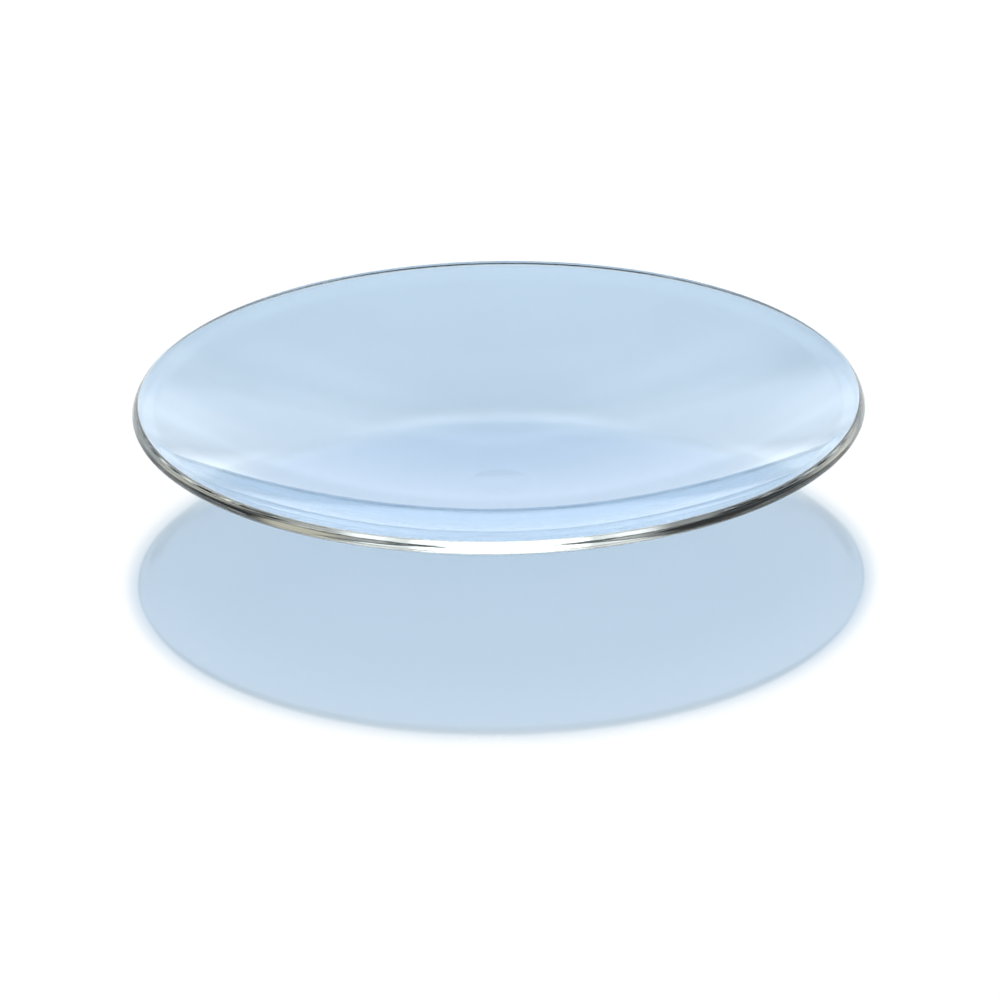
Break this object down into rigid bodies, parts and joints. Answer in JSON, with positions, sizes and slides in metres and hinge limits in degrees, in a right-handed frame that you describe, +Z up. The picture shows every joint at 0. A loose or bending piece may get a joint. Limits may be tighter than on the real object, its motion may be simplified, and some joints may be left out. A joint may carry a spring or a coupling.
{
  "type": "watch glass",
  "caption": "Shallow round dish of clear glass, curved like part of a sphere, with a melted, fire-polished rim. It holds small samples, evaporates drops or covers a beaker.",
  "frame": {"origin": "centre of the foot, the small flat in the middle of the underside, on the surface that the dish stands on", "axes": "+Z up along the axis that the dish is round about, out of its hollow side; X and Y are alike because the dish is round"},
  "size_m": [0.1, 0.1, 0.014],
  "materials": {
    "glass": "smooth and transparent soda-lime glass with a pale blue cast and a fire-polished rim"
  },
  "bodies": {
    "root": {"dish": "glass"}
  },
  "joints": []
}
